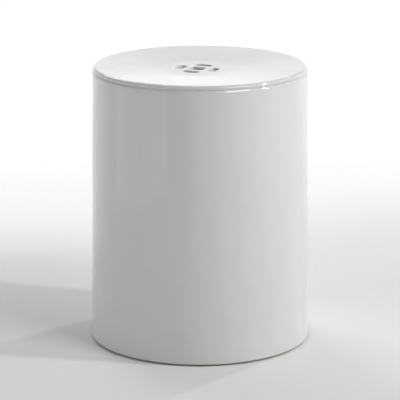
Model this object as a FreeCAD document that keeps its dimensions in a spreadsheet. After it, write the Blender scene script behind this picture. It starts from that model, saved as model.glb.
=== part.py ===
import FreeCAD, Part
import collections
import math
import os
import Sketcher

# Ceramic garden stool: a hollow stoneware drum with a dished seat slab on top, pierced by a cash-coin
# pattern, a ring slab in its foot, a white glaze coat and felt pads. Millimetres, +Z up, with the origin
# on the floor under the middle of the drum.

# Driving dimensions. Radii and heights are those of the glazed surface, and the stoneware lies one
# glaze thickness inside it.
SIZES = [
    ("seat_height", 450.0),        # floor to the crest of the rim
    ("rim_edge", 7.0),             # crest of the rim down to the joint with the drum
    ("rim_round", 5.0),            # rounding of the seat's upper edge
    ("rim_step", 1.1),             # how far the seat's edge is set in from the drum
    ("dish_depth", 6.3),           # how far the middle of the seat lies below the rim
    ("underside_drop", 10.5),      # how far the slab's underside sags below the joint
    ("drum_top_radius", 173.3),    # drum at the joint with the seat
    ("drum_foot_radius", 178.4),   # drum's outside carried down to the floor
    ("wall_thickness", 10.0),
    ("glaze_thickness", 0.6),
    ("foot_round", 1.0),           # rounding of the bare foot
    ("bead_size", 8.0),            # legs of the luting slip beads
    ("bead_ease", 1.0),            # how much the radius of a bead's hollow face exceeds its legs
    ("ring_width", 32.0),          # base ring, from the drum's inside to the ring's open centre
    ("ring_thickness", 12.0),
    ("ring_round", 3.0),           # rounding around the ring's open centre
    ("coin_shift", 4.5),           # the coin is cut this far off centre, towards -X
    ("coin_turn", 67.5),           # turn of the coin on the seat, in degrees
    ("coin_hole", 22.0),           # side of the square hole
    ("coin_web", 11.5),            # glazed clay left between the square hole and a slot
    ("slot_length", 26.4),
    ("slot_width", 12.5),          # across the middle of a slot
    ("coin_corner", 2.4),          # rounding of the openings' upright corners
    ("coin_lip", 2.4),             # rounding of the openings' glazed lips
    ("coin_margin", 0.7),          # flat seat left between the coin's lips and the dish's slope
    ("pad_radius", 12.5),
    ("pad_height", 2.2),
    ("pad_round", 0.5),            # rounding of the pads' lower edges
    ("pad_setback", 8.0),          # outside of the drum to the nearest edge of a pad
]
PAD_COUNT = 6
FRONT_ANGLE = 270.0
SLOT_COUNT = 4
SAME_PLACE = 0.01  # what lies closer than this is at the same place
CUT_VOLUME = 1.0   # a cut that takes less than this took nothing

# Heights and radii that follow from the sizes.
GLAZE = "Sizes.glaze_thickness"
JOINT = "(Sizes.seat_height - Sizes.rim_edge)"
CLAY_JOINT = f"({JOINT} - {GLAZE})"
RIM_RADIUS = "(Sizes.drum_top_radius - Sizes.rim_step)"
CREST_RADIUS = f"({RIM_RADIUS} - Sizes.rim_round)"
CLAY_RIM_RADIUS = f"({RIM_RADIUS} - {GLAZE})"
CLAY_STEP_ROUND = "(Sizes.rim_step / 2)"
BEAD_HOLLOW = "(Sizes.bead_size + Sizes.bead_ease)"
RING_TOP = "(Sizes.pad_height + Sizes.ring_thickness)"
SLOT_INSIDE = "(Sizes.coin_hole / 2 + Sizes.coin_web)"
COIN_RADIUS = f"({SLOT_INSIDE} + Sizes.slot_width)"
FLAT_RADIUS = f"(Sizes.coin_shift + {COIN_RADIUS} + Sizes.coin_lip + Sizes.coin_margin)"

# One corner of an outline: its place across and up, and, where an arc leads to it, the arc's radius
# and whether the arc's centre lies to the left of the way along the outline.
Corner = collections.namedtuple("Corner", "across up radius centre_left", defaults=(None, True))


def drum_radius(height):
    """Radius of the glazed drum at a height: it widens evenly from the joint down to the floor."""
    spread = "(Sizes.drum_foot_radius - Sizes.drum_top_radius)"
    return f"(Sizes.drum_foot_radius - {spread} * ({height}) / {JOINT})"


def clay_radius(height):
    """Radius of the stoneware drum under its glaze."""
    return f"({drum_radius(height)} - {GLAZE})"


def inner_radius(height):
    """Radius of the drum's hollow."""
    return f"({clay_radius(height)} - Sizes.wall_thickness)"


def make_sheet(doc):
    """The sheet of driving dimensions."""
    sheet = doc.addObject("Spreadsheet::Sheet", "Sizes")
    for row, (name, value) in enumerate(SIZES, start=1):
        sheet.set(f"A{row}", name)
        sheet.set(f"B{row}", str(value))
        sheet.setAlias(f"B{row}", name)
    doc.recompute()
    return sheet


def origin_feature(body, role):
    """A body's own origin plane or axis."""
    return next(feature for feature in body.Origin.OriginFeatures if feature.Role == role)


def new_sketch(body, name, plane):
    """A sketch on one of the body's own origin planes."""
    sketch = body.newObject("Sketcher::SketchObject", name)
    sketch.AttachmentSupport = [(origin_feature(body, plane), "")]
    sketch.MapMode = "FlatFace"
    return sketch


def bind(sketch, constraint, name, expression):
    """Adds a constraint and binds its value to an expression."""
    sketch.renameConstraint(sketch.addConstraint(constraint), name)
    sketch.setExpression(f"Constraints.{name}", expression)


def bind_place(sketch, edge, end, name, kind, expression):
    """Holds one end of an edge at its distance from the sketch's origin, or on an axis where it is 0."""
    place = sketch.evalExpression(expression)
    if expression == "0":
        axis = -2 if kind == "DistanceX" else -1
        sketch.addConstraint(Sketcher.Constraint("PointOnObject", edge, end, axis))
    elif place > 0:
        bind(sketch, Sketcher.Constraint(kind, -1, 1, edge, end, place), name, expression)
    else:
        bind(sketch, Sketcher.Constraint(kind, edge, end, -1, 1, -place), name, f"-({expression})")


def arc_between(start, end, radius, centre_left):
    """The short arc between two points, with its centre on the side asked for."""
    chord = end - start
    side = 1 if centre_left else -1
    height = side * math.sqrt(radius**2 - (chord.Length / 2) ** 2)
    centre = (start + end) / 2 + FreeCAD.Vector(-chord.y, chord.x, 0).normalize() * height
    first, last = (start, end) if centre_left else (end, start)
    angles = [math.atan2(point.y - centre.y, point.x - centre.x) for point in (first, last)]
    circle = Part.Circle(centre, FreeCAD.Vector(0, 0, 1), radius)
    return Part.ArcOfCircle(circle, angles[0], angles[1])


def draw_outline(sketch, corners):
    """Draws a closed outline through its corners, with every place and radius bound to the sheet."""
    value = sketch.evalExpression
    points = [FreeCAD.Vector(value(corner.across), value(corner.up), 0) for corner in corners]
    edges = []
    for index, corner in enumerate(corners):
        start, end = points[index - 1], points[index]
        if corner.radius is None:
            edge = sketch.addGeometry(Part.LineSegment(start, end), False)
            edges.append((edge, 1, 2))
        else:
            arc = arc_between(start, end, value(corner.radius), corner.centre_left)
            edge = sketch.addGeometry(arc, False)
            edges.append((edge, 1, 2) if corner.centre_left else (edge, 2, 1))
    for index, corner in enumerate(corners):
        edge, _, end = edges[index]
        following, start, _ = edges[(index + 1) % len(edges)]
        sketch.addConstraint(Sketcher.Constraint("Coincident", edge, end, following, start))
        bind_place(sketch, edge, end, f"across_{index}", "DistanceX", corner.across)
        bind_place(sketch, edge, end, f"up_{index}", "DistanceY", corner.up)
        if corner.radius is not None:
            radius = Sketcher.Constraint("Radius", edge, value(corner.radius))
            bind(sketch, radius, f"radius_{index}", corner.radius)


def new_body(doc, label):
    """A body under the name of its piece."""
    body = doc.addObject("PartDesign::Body", label)
    body.Label = label
    return body


def turned_body(doc, label, corners):
    """A body turned about the stool's axis from one closed outline."""
    body = new_body(doc, label)
    sketch = new_sketch(body, f"{label}_outline", "XZ_Plane")
    draw_outline(sketch, corners)
    turned = body.newObject("PartDesign::Revolution", f"{label}_turned")
    turned.Profile = (sketch, [""])
    turned.ReferenceAxis = (sketch, ["V_Axis"])
    turned.Angle = 360.0
    sketch.Visibility = False
    doc.recompute()
    return body


def cut_through(doc, body, sketch, name):
    """A pocket through the whole slab, from the sketch upwards."""
    before = body.Shape.Volume
    pocket = body.newObject("PartDesign::Pocket", name)
    pocket.Profile = (sketch, [""])
    pocket.Type = "ThroughAll"
    pocket.Reversed = True
    doc.recompute()
    if body.Shape.Volume > before - CUT_VOLUME:
        raise RuntimeError(f"{name} cut nothing")
    return pocket


def coin_sketch(body, name):
    """A sketch on the coin's own axes: its middle lies off centre and one slot lies along its Y axis."""
    sketch = new_sketch(body, name, "XY_Plane")
    turn = FreeCAD.Rotation(FreeCAD.Vector(0, 0, 1), 1.0)
    sketch.AttachmentOffset = FreeCAD.Placement(FreeCAD.Vector(0, 0, 0), turn)
    sketch.setExpression("AttachmentOffset.Base.x", "-Sizes.coin_shift")
    sketch.setExpression("AttachmentOffset.Rotation.Angle", "Sizes.coin_turn")
    return sketch


def cut_square_hole(doc, body, growth):
    """The coin's square hole, whose sides face the slots."""
    sketch = coin_sketch(body, f"{body.Label}_square")
    half = f"(Sizes.coin_hole / 2 + {growth})"
    draw_outline(
        sketch,
        [
            Corner(half, f"-{half}"),
            Corner(half, half),
            Corner(f"-{half}", half),
            Corner(f"-{half}", f"-{half}"),
        ],
    )
    cut_through(doc, body, sketch, f"{body.Label}_square_hole")


def cut_slots(doc, body, growth):
    """The coin's slots, each with a straight inner edge, blunt ends and an arc outside."""
    sketch = coin_sketch(body, f"{body.Label}_slot")
    half = f"(Sizes.slot_length / 2 + {growth})"
    arc = f"({COIN_RADIUS} + {growth})"
    inner = f"({SLOT_INSIDE} - {growth})"
    outer = f"sqrt({arc} * {arc} - {half} * {half})"
    draw_outline(
        sketch,
        [
            Corner(f"-{half}", inner),
            Corner(half, inner),
            Corner(half, outer),
            Corner(f"-{half}", outer, arc, True),
        ],
    )
    slot = cut_through(doc, body, sketch, f"{body.Label}_first_slot")
    slots = body.newObject("PartDesign::PolarPattern", f"{body.Label}_slots")
    slots.Originals = [slot]
    slots.Axis = (sketch, ["N_Axis"])
    slots.Angle = 360.0
    slots.Occurrences = SLOT_COUNT
    body.Tip = slots
    doc.recompute()


def round_edges(doc, body, name, radius, wanted):
    """Rounds the edges of the body's last shape that the test asks for."""
    base = body.Tip
    picked = [f"Edge{i}" for i, edge in enumerate(base.Shape.Edges, start=1) if wanted(edge)]
    if not picked:
        raise RuntimeError(f"{name} found no edges")
    fillet = body.newObject("PartDesign::Fillet", name)
    fillet.Base = (base, picked)
    fillet.setExpression("Radius", radius)
    doc.recompute()


def pierce_coin(doc, body, growth):
    """Cuts the coin through the seat, and rounds its corners and upper edges."""
    cut_square_hole(doc, body, growth)
    cut_slots(doc, body, growth)
    reach = body.evalExpression(FLAT_RADIUS) - SAME_PLACE
    middle = body.evalExpression(CLAY_JOINT)

    def in_coin(edge):
        return all(math.hypot(v.X, v.Y) < reach for v in edge.Vertexes)

    def upright(edge):
        low, high = edge.BoundBox.ZMin, edge.BoundBox.ZMax
        return in_coin(edge) and low < middle < high

    def on_top(edge):
        return in_coin(edge) and edge.BoundBox.ZMin > middle

    corner = f"Sizes.coin_corner + {growth}"
    lip = f"Sizes.coin_lip - {growth}"
    round_edges(doc, body, f"{body.Label}_corners", corner, upright)
    round_edges(doc, body, f"{body.Label}_lips", lip, on_top)


def seat_slab(doc):
    """The stoneware seat slab: a dished disc whose edge rests on the drum, pierced by the coin."""
    slab = turned_body(
        doc,
        "seat_slab",
        [
            Corner("0", f"{CLAY_JOINT} - Sizes.underside_drop"),
            Corner(FLAT_RADIUS, f"{CLAY_JOINT} - Sizes.underside_drop"),
            Corner(f"{inner_radius(CLAY_JOINT)} - Sizes.bead_size", CLAY_JOINT),
            Corner(CLAY_RIM_RADIUS, CLAY_JOINT),
            Corner(CLAY_RIM_RADIUS, "Sizes.seat_height - Sizes.rim_round"),
            Corner(CREST_RADIUS, f"Sizes.seat_height - {GLAZE}", f"Sizes.rim_round - {GLAZE}"),
            Corner(FLAT_RADIUS, f"Sizes.seat_height - Sizes.dish_depth - {GLAZE}"),
            Corner("0", f"Sizes.seat_height - Sizes.dish_depth - {GLAZE}"),
        ],
    )
    pierce_coin(doc, slab, GLAZE)
    return slab


def seat_glaze(doc, slab):
    """The glaze on the seat, its rim and the walls of the coin: the glazed seat less the slab."""
    glazed = turned_body(
        doc,
        "glazed_seat",
        [
            Corner("0", f"{CLAY_JOINT} - Sizes.underside_drop"),
            Corner(FLAT_RADIUS, f"{CLAY_JOINT} - Sizes.underside_drop"),
            Corner(f"{inner_radius(CLAY_JOINT)} - Sizes.bead_size", CLAY_JOINT),
            Corner(CLAY_RIM_RADIUS, CLAY_JOINT),
            Corner(CLAY_RIM_RADIUS, JOINT),
            Corner(RIM_RADIUS, JOINT),
            Corner(RIM_RADIUS, "Sizes.seat_height - Sizes.rim_round"),
            Corner(CREST_RADIUS, "Sizes.seat_height", "Sizes.rim_round"),
            Corner(FLAT_RADIUS, "Sizes.seat_height - Sizes.dish_depth"),
            Corner("0", "Sizes.seat_height - Sizes.dish_depth"),
        ],
    )
    pierce_coin(doc, glazed, "0")
    glaze = doc.addObject("Part::Cut", "seat_glaze")
    glaze.Label = "seat_glaze"
    glaze.Base = glazed
    glaze.Tool = slab
    doc.recompute()
    return glaze


def drum_wall(doc):
    """The hollow stoneware drum: an even wall, rounded at its bare foot and at the joint."""
    foot = "Sizes.pad_height"
    shoulder = f"{CLAY_JOINT} - {CLAY_STEP_ROUND}"
    heel = f"{foot} + Sizes.foot_round"
    return turned_body(
        doc,
        "drum_wall",
        [
            Corner(inner_radius(foot), foot),
            Corner(f"{clay_radius(heel)} - Sizes.foot_round", foot),
            Corner(clay_radius(heel), heel, "Sizes.foot_round"),
            Corner(clay_radius(shoulder), shoulder),
            Corner(f"{clay_radius(shoulder)} - {CLAY_STEP_ROUND}", CLAY_JOINT, CLAY_STEP_ROUND),
            Corner(inner_radius(CLAY_JOINT), CLAY_JOINT),
        ],
    )


def wall_glaze(doc):
    """The glaze on the drum, from a soft edge above the bare foot up to the seat's edge."""
    clay_shoulder = f"{CLAY_JOINT} - {CLAY_STEP_ROUND}"
    shoulder = f"{JOINT} - Sizes.rim_step"
    heel = "Sizes.pad_height + Sizes.foot_round"
    bead = f"{heel} + {GLAZE}"
    return turned_body(
        doc,
        "wall_glaze",
        [
            Corner(CLAY_RIM_RADIUS, CLAY_JOINT),
            Corner(f"{clay_radius(clay_shoulder)} - {CLAY_STEP_ROUND}", CLAY_JOINT),
            Corner(clay_radius(clay_shoulder), clay_shoulder, CLAY_STEP_ROUND, False),
            Corner(clay_radius(heel), heel),
            Corner(drum_radius(bead), bead, GLAZE),
            Corner(drum_radius(shoulder), shoulder),
            Corner(f"{drum_radius(shoulder)} - Sizes.rim_step", JOINT, "Sizes.rim_step"),
            Corner(CLAY_RIM_RADIUS, JOINT),
        ],
    )


def base_ring(doc):
    """The ring slab luted inside the drum's foot, flush with it, around the open base."""
    foot = "Sizes.pad_height"
    edge = f"{inner_radius(foot)} - Sizes.ring_width"
    rounded = f"{edge} + Sizes.ring_round"
    return turned_body(
        doc,
        "base_ring",
        [
            Corner(inner_radius(foot), foot),
            Corner(inner_radius(RING_TOP), RING_TOP),
            Corner(rounded, RING_TOP),
            Corner(edge, f"{RING_TOP} - Sizes.ring_round", "Sizes.ring_round"),
            Corner(edge, f"{foot} + Sizes.ring_round"),
            Corner(rounded, foot, "Sizes.ring_round"),
        ],
    )


def seat_joint_slip(doc):
    """The bead of slip smoothed into the corner between the drum's inside and the seat's underside."""
    low = f"{CLAY_JOINT} - Sizes.bead_size"
    corner = inner_radius(CLAY_JOINT)
    return turned_body(
        doc,
        "seat_joint_slip",
        [
            Corner(inner_radius(low), low, BEAD_HOLLOW, False),
            Corner(corner, CLAY_JOINT),
            Corner(f"{corner} - Sizes.bead_size", CLAY_JOINT),
        ],
    )


def base_joint_slip(doc):
    """The bead of slip smoothed into the corner between the drum's inside and the base ring."""
    high = f"{RING_TOP} + Sizes.bead_size"
    corner = inner_radius(RING_TOP)
    return turned_body(
        doc,
        "base_joint_slip",
        [
            Corner(f"{corner} - Sizes.bead_size", RING_TOP, BEAD_HOLLOW, False),
            Corner(corner, RING_TOP),
            Corner(inner_radius(high), high),
        ],
    )


def foot_pad(doc, number):
    """One felt disc, stuck across the joint between the drum's foot and the base ring."""
    pad = new_body(doc, f"foot_pad_{number}")
    sketch = new_sketch(pad, f"{pad.Label}_disc", "XY_Plane")
    radius = sketch.evalExpression("Sizes.pad_radius")
    circle = Part.Circle(FreeCAD.Vector(0, 0, 0), FreeCAD.Vector(0, 0, 1), radius)
    disc = sketch.addGeometry(circle, False)
    sketch.addConstraint(Sketcher.Constraint("Coincident", disc, 3, -1, 1))
    bind(sketch, Sketcher.Constraint("Radius", disc, radius), "radius", "Sizes.pad_radius")
    raised = pad.newObject("PartDesign::Pad", f"{pad.Label}_felt")
    raised.Profile = (sketch, [""])
    raised.setExpression("Length", "Sizes.pad_height")
    doc.recompute()

    def on_floor(edge):
        return edge.BoundBox.ZMax < SAME_PLACE

    round_edges(doc, pad, f"{pad.Label}_edge", "Sizes.pad_round", on_floor)
    circle_radius = "(Sizes.drum_foot_radius - Sizes.pad_setback - Sizes.pad_radius)"
    angle = FRONT_ANGLE + 360.0 * (number - 1) / PAD_COUNT
    pad.setExpression("Placement.Base.x", f"{circle_radius} * cos({angle} deg)")
    pad.setExpression("Placement.Base.y", f"{circle_radius} * sin({angle} deg)")
    doc.recompute()
    return pad


def check(doc, pieces):
    """Stops where an object failed or a piece has no good shape."""
    for item in doc.Objects:
        if "Invalid" in item.State or "Error" in item.State:
            raise RuntimeError(f"{item.Label} failed: {item.State}")
    for piece in pieces:
        if piece.Shape.isNull() or not piece.Shape.isValid() or not piece.Shape.Solids:
            raise RuntimeError(f"{piece.Label} has no good solid")


def main():
    doc = FreeCAD.newDocument("garden_stool")
    make_sheet(doc)
    slab = seat_slab(doc)
    pieces = [
        slab,
        seat_glaze(doc, slab),
        drum_wall(doc),
        wall_glaze(doc),
        base_ring(doc),
        seat_joint_slip(doc),
        base_joint_slip(doc),
    ]
    pieces += [foot_pad(doc, number) for number in range(1, PAD_COUNT + 1)]
    doc.recompute()
    check(doc, pieces)
    os.makedirs("parts", exist_ok=True)
    for piece in pieces:
        piece.Shape.exportStep(f"parts/{piece.Label}.step")
        box = piece.Shape.optimalBoundingBox()
        print(
            f"{piece.Label}: {len(piece.Shape.Solids)} solid, {piece.Shape.Volume / 1000:.1f} cm3, "
            f"z {box.ZMin:.2f} to {box.ZMax:.2f}, width {box.XLength:.2f}"
        )


main()
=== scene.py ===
"""Looks of a ceramic garden stool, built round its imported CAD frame.

The stool is a hollow drum of stoneware under a thick white glaze, with a dished seat slab that a
cash-coin pattern pierces. Metres, +Z up, and the camera looks along +Y.
"""

import logging
import math
from collections.abc import Callable
from dataclasses import dataclass, field
from enum import Enum

import bmesh
import bpy
from bpy.types import Material, Node, NodeOutputs, NodeSocket, NodeTree, Object
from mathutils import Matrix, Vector


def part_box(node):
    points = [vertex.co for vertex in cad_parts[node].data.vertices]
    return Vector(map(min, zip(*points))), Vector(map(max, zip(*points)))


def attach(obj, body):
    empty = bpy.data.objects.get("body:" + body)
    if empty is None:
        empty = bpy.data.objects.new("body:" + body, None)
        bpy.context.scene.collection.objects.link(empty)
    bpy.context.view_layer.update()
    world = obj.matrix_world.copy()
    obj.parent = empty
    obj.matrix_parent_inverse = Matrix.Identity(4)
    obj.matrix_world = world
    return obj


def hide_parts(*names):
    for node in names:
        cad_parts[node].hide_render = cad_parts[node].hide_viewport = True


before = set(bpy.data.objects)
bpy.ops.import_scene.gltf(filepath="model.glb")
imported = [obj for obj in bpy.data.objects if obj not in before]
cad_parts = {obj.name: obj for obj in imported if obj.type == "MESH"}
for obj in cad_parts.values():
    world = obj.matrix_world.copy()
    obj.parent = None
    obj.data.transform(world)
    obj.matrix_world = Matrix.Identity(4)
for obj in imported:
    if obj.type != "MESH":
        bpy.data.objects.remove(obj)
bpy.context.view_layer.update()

LOG = logging.getLogger("garden_stool")
MM = 0.001
BODY = "root"
MERGE_DISTANCE = 0.001 * MM
SAME_PLACE = 0.02 * MM
SET_BACK = 0.1 * MM
PAD_COUNT = 6

# Width in degrees that leaves a patch of light nearly even all round.
ALL_ROUND = 1000.0

# A face with more corners than this is one of the openings.
MOST_CORNERS = 8

NUMBER = "NodeSocketFloat"
SURFACE = "Base Color, Roughness, Normal"

Place = tuple[float, float, float]
Colour = tuple[float, float, float, float]


class Slot(Enum):
    """Material slots of the part's record."""

    STONEWARE = "stoneware"
    GLAZE = "white_glaze"
    SLIP = "slip"
    FELT = "felt"


# Steps of modelling that every piece goes through.


def deselect_all() -> None:
    """Deselect every object."""
    for obj in bpy.context.selected_objects:
        obj.select_set(False)


def make_active(obj: Object) -> None:
    """Make an object the active one and the only one selected."""
    deselect_all()
    obj.select_set(True)
    bpy.context.view_layer.objects.active = obj


def open_mesh(obj: Object, mode: str = "VERT") -> None:
    """Open an object's mesh for editing, with nothing selected.

    Args:
        obj: The object to edit.
        mode: What is picked in the mesh: VERT, EDGE or FACE.
    """
    make_active(obj)
    bpy.ops.object.mode_set(mode="EDIT")
    bpy.ops.mesh.select_mode(type=mode)
    bpy.ops.mesh.select_all(action="DESELECT")


def close_mesh() -> None:
    """Leave the mesh and go back to the object."""
    bpy.ops.object.mode_set(mode="OBJECT")


def settle(obj: Object) -> None:
    """Put an object's place, turn and size into its mesh."""
    make_active(obj)
    bpy.ops.object.transform_apply(location=True, rotation=True, scale=True)


def smooth(obj: Object, corner: float = 0.0) -> None:
    """Shade an object smooth.

    Args:
        obj: The object to shade.
        corner: Angle in degrees above which an edge stays sharp. At 0 none does.
    """
    make_active(obj)
    if corner:
        bpy.ops.object.shade_smooth_by_angle(angle=math.radians(corner))
    else:
        bpy.ops.object.shade_smooth()


def pick(obj: Object, kind: str, wanted: Callable[[object], bool]) -> None:
    """Select the wanted parts of an open mesh and no others.

    Args:
        obj: The object whose mesh is open.
        kind: What is picked: verts, edges or faces.
        wanted: Tells for each part whether it is selected.
    """
    mesh = bmesh.from_edit_mesh(obj.data)
    for part in getattr(mesh, kind):
        part.select = wanted(part)
    mesh.select_flush_mode()
    bmesh.update_edit_mesh(obj.data)


def from_axis(place: Vector) -> float:
    """Give a place's distance from the stool's axis."""
    return math.hypot(place.x, place.y)


def hang(name: str, width: float, height: float) -> Object:
    """Put a rectangle of light into the scene, which the camera doesn't see.

    Args:
        name: The light's name.
        width: Its width in metres.
        height: Its height in metres.

    Returns:
        The light.
    """
    data = bpy.data.lights.new(name, "AREA")
    data.shape = "RECTANGLE"
    data.size = width
    data.size_y = height
    light = bpy.data.objects.new(name, data)
    bpy.context.scene.collection.objects.link(light)
    light.visible_camera = False
    return light


def start_shape(shape: str, **values: object) -> Object:
    """Add a basic shape and give the object that holds it.

    Args:
        shape: Blender's name for the shape.
        **values: How the shape is made.

    Returns:
        The new object.
    """
    deselect_all()
    getattr(bpy.ops.mesh, f"primitive_{shape}_add")(**values)
    return bpy.context.object


def tidy_mesh(obj: Object) -> None:
    """Merge doubled points and turn every face outwards."""
    open_mesh(obj)
    bpy.ops.mesh.select_all(action="SELECT")
    bpy.ops.mesh.remove_doubles(threshold=MERGE_DISTANCE)
    bpy.ops.mesh.normals_make_consistent(inside=False)
    close_mesh()


def copy_of(obj: Object) -> Object:
    """Copy an object, with a mesh of its own."""
    copy = obj.copy()
    copy.data = obj.data.copy()
    bpy.context.scene.collection.objects.link(copy)
    return copy


def apply_modifier(obj: Object, kind: str, **values: object) -> None:
    """Add a modifier with the given values and apply it.

    Args:
        obj: The object to change.
        kind: Blender's type of modifier.
        **values: Properties of the modifier.
    """
    make_active(obj)
    modifier = obj.modifiers.new(kind.lower(), kind)
    for name, value in values.items():
        setattr(modifier, name, value)
    bpy.ops.object.modifier_apply(modifier=modifier.name)


def weigh(obj: Object, name: str, share: Callable[[Vector], float]) -> None:
    """Give an object a vertex group.

    Args:
        obj: The object.
        name: Name of the group.
        share: Gives a point's weight, from 0 to 1, from its place.
    """
    group = obj.vertex_groups.new(name=name)
    for vertex in obj.data.vertices:
        group.add([vertex.index], share(vertex.co), "REPLACE")


def eased(value: float, start: float, end: float) -> float:
    """Share of the way from a start to an end, from 0 to 1, with soft ends."""
    share = max(0.0, min(1.0, (value - start) / (end - start)))
    return share * share * (3.0 - 2.0 * share)


def dress(obj: Object, finish: Material) -> None:
    """Give an object one material and no other."""
    obj.data.materials.clear()
    obj.data.materials.append(finish)


def hand_over(obj: Object, name: str, finish: Material, slot: Slot, *nodes: str) -> None:
    """Name and dress a finished piece, and put it in its place on the stool.

    Args:
        obj: The piece.
        name: The piece's name.
        finish: Its material.
        slot: The record's material slot that it takes its finish from. Not used.
        *nodes: The CAD nodes that it stands for.
    """
    settle(obj)
    obj.name = name
    obj.data.name = name
    obj.vertex_groups.clear()
    dress(obj, finish)
    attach(obj, BODY)
    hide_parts(*nodes)
    LOG.info("%s: %d faces, stands for %s", name, len(obj.data.polygons), ", ".join(nodes))


@dataclass
class Outline:
    """Section of a turned piece, drawn from point to point as radius and height."""

    points: list[tuple[float, float]] = field(default_factory=list)

    def to(self, radius: float, height: float, steps: int = 1) -> "Outline":
        """Draw a straight line to a point, in even steps."""
        if not self.points:
            self.points.append((radius, height))
            return self
        return self.lead(radius, height, steps, lambda share: share)

    def ease(self, radius: float, height: float, steps: int) -> "Outline":
        """Draw an S from the last point, upright at both ends."""
        return self.lead(radius, height, steps, lambda share: eased(share, 0.0, 1.0))

    def lead(self, radius: float, height: float, steps: int, bend: Callable[[float], float]) -> "Outline":
        """Draw on to a point.

        Args:
            radius: The point's radius.
            height: The point's height.
            steps: Number of straight steps.
            bend: Gives the share of the way in radius from the share of the way in height.

        Returns:
            The outline, to draw on.
        """
        first = self.points[-1]
        for step in range(1, steps + 1):
            share = step / steps
            across = first[0] + (radius - first[0]) * bend(share)
            self.points.append((across, first[1] + (height - first[1]) * share))
        return self

    def ripple(
        self, radius: float, height: float, steps: int, waves: float, push: tuple[float, float], soft: float
    ) -> "Outline":
        """Draw a rippled line to a point.

        Args:
            radius: The point's radius.
            height: The point's height.
            steps: Number of straight steps.
            waves: Number of waves along the line.
            push: How far, in radius and height, a wave stands off the line.
            soft: Share of the line over which the waves fade away at each end.

        Returns:
            The outline, to draw on.
        """
        first = self.points[-1]
        for step in range(1, steps + 1):
            share = step / steps
            wave = 0.5 - 0.5 * math.cos(math.tau * waves * share)
            wave *= eased(share, 0.0, soft) * (1.0 - eased(share, 1.0 - soft, 1.0))
            self.points.append((
                first[0] + (radius - first[0]) * share + push[0] * wave,
                first[1] + (height - first[1]) * share + push[1] * wave,
            ))
        return self

    def round(
        self, centre: tuple[float, float], radius: float, start: float, end: float, steps: int
    ) -> "Outline":
        """Draw an arc.

        Args:
            centre: Radius and height of the arc's centre.
            radius: The arc's own radius.
            start: Angle of its first point in degrees, from outwards towards up.
            end: Angle of its last point in degrees.
            steps: Number of straight steps.

        Returns:
            The outline, to draw on.
        """
        for step in range(steps + 1):
            angle = math.radians(start + (end - start) * step / steps)
            point = (centre[0] + radius * math.cos(angle), centre[1] + radius * math.sin(angle))
            if not self.points or math.dist(point, self.points[-1]) > SAME_PLACE:
                self.points.append(point)
        return self

    def turn(self, name: str, steps: int, closed: bool) -> Object:
        """Spin the outline round the stool's axis.

        Args:
            name: Name of the new object.
            steps: Number of steps round.
            closed: Whether the outline closes on its first point.

        Returns:
            The turned object, smooth shaded, with its faces outwards.
        """
        first = self.points[0]
        obj = start_shape("plane", size=MM, location=(first[0], 0.0, first[1]))
        obj.name = name
        settle(obj)
        open_mesh(obj)
        bpy.ops.mesh.select_all(action="SELECT")
        bpy.ops.mesh.merge(type="CENTER")
        path = self.points + ([first] if closed else [])
        for start, end in zip(path, path[1:]):
            move = (end[0] - start[0], 0.0, end[1] - start[1])
            bpy.ops.mesh.extrude_vertices_move(TRANSFORM_OT_translate={"value": move})
        bpy.ops.mesh.select_all(action="SELECT")
        bpy.ops.mesh.spin(steps=steps, angle=math.tau, center=(0.0, 0.0, 0.0), axis=(0.0, 0.0, 1.0))
        close_mesh()
        tidy_mesh(obj)
        smooth(obj)
        return obj


@dataclass(frozen=True)
class Unevenness:
    """Soft unevenness of a surface worked by hand. It only ever takes material away."""

    depth: float
    width: float
    detail: int = 1

    def press(self, obj: Object, group: str) -> None:
        """Press the unevenness into a mesh.

        Args:
            obj: The object to change.
            group: Vertex group that says how much of it each point takes.
        """
        texture = bpy.data.textures.new(f"{obj.name}_unevenness", type="CLOUDS")
        texture.noise_scale = self.width
        texture.noise_depth = self.detail
        apply_modifier(
            obj,
            "DISPLACE",
            texture=texture,
            texture_coords="LOCAL",
            strength=self.depth,
            mid_level=1.0,
            vertex_group=group,
        )
        bpy.data.textures.remove(texture)


# Finishes.


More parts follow.
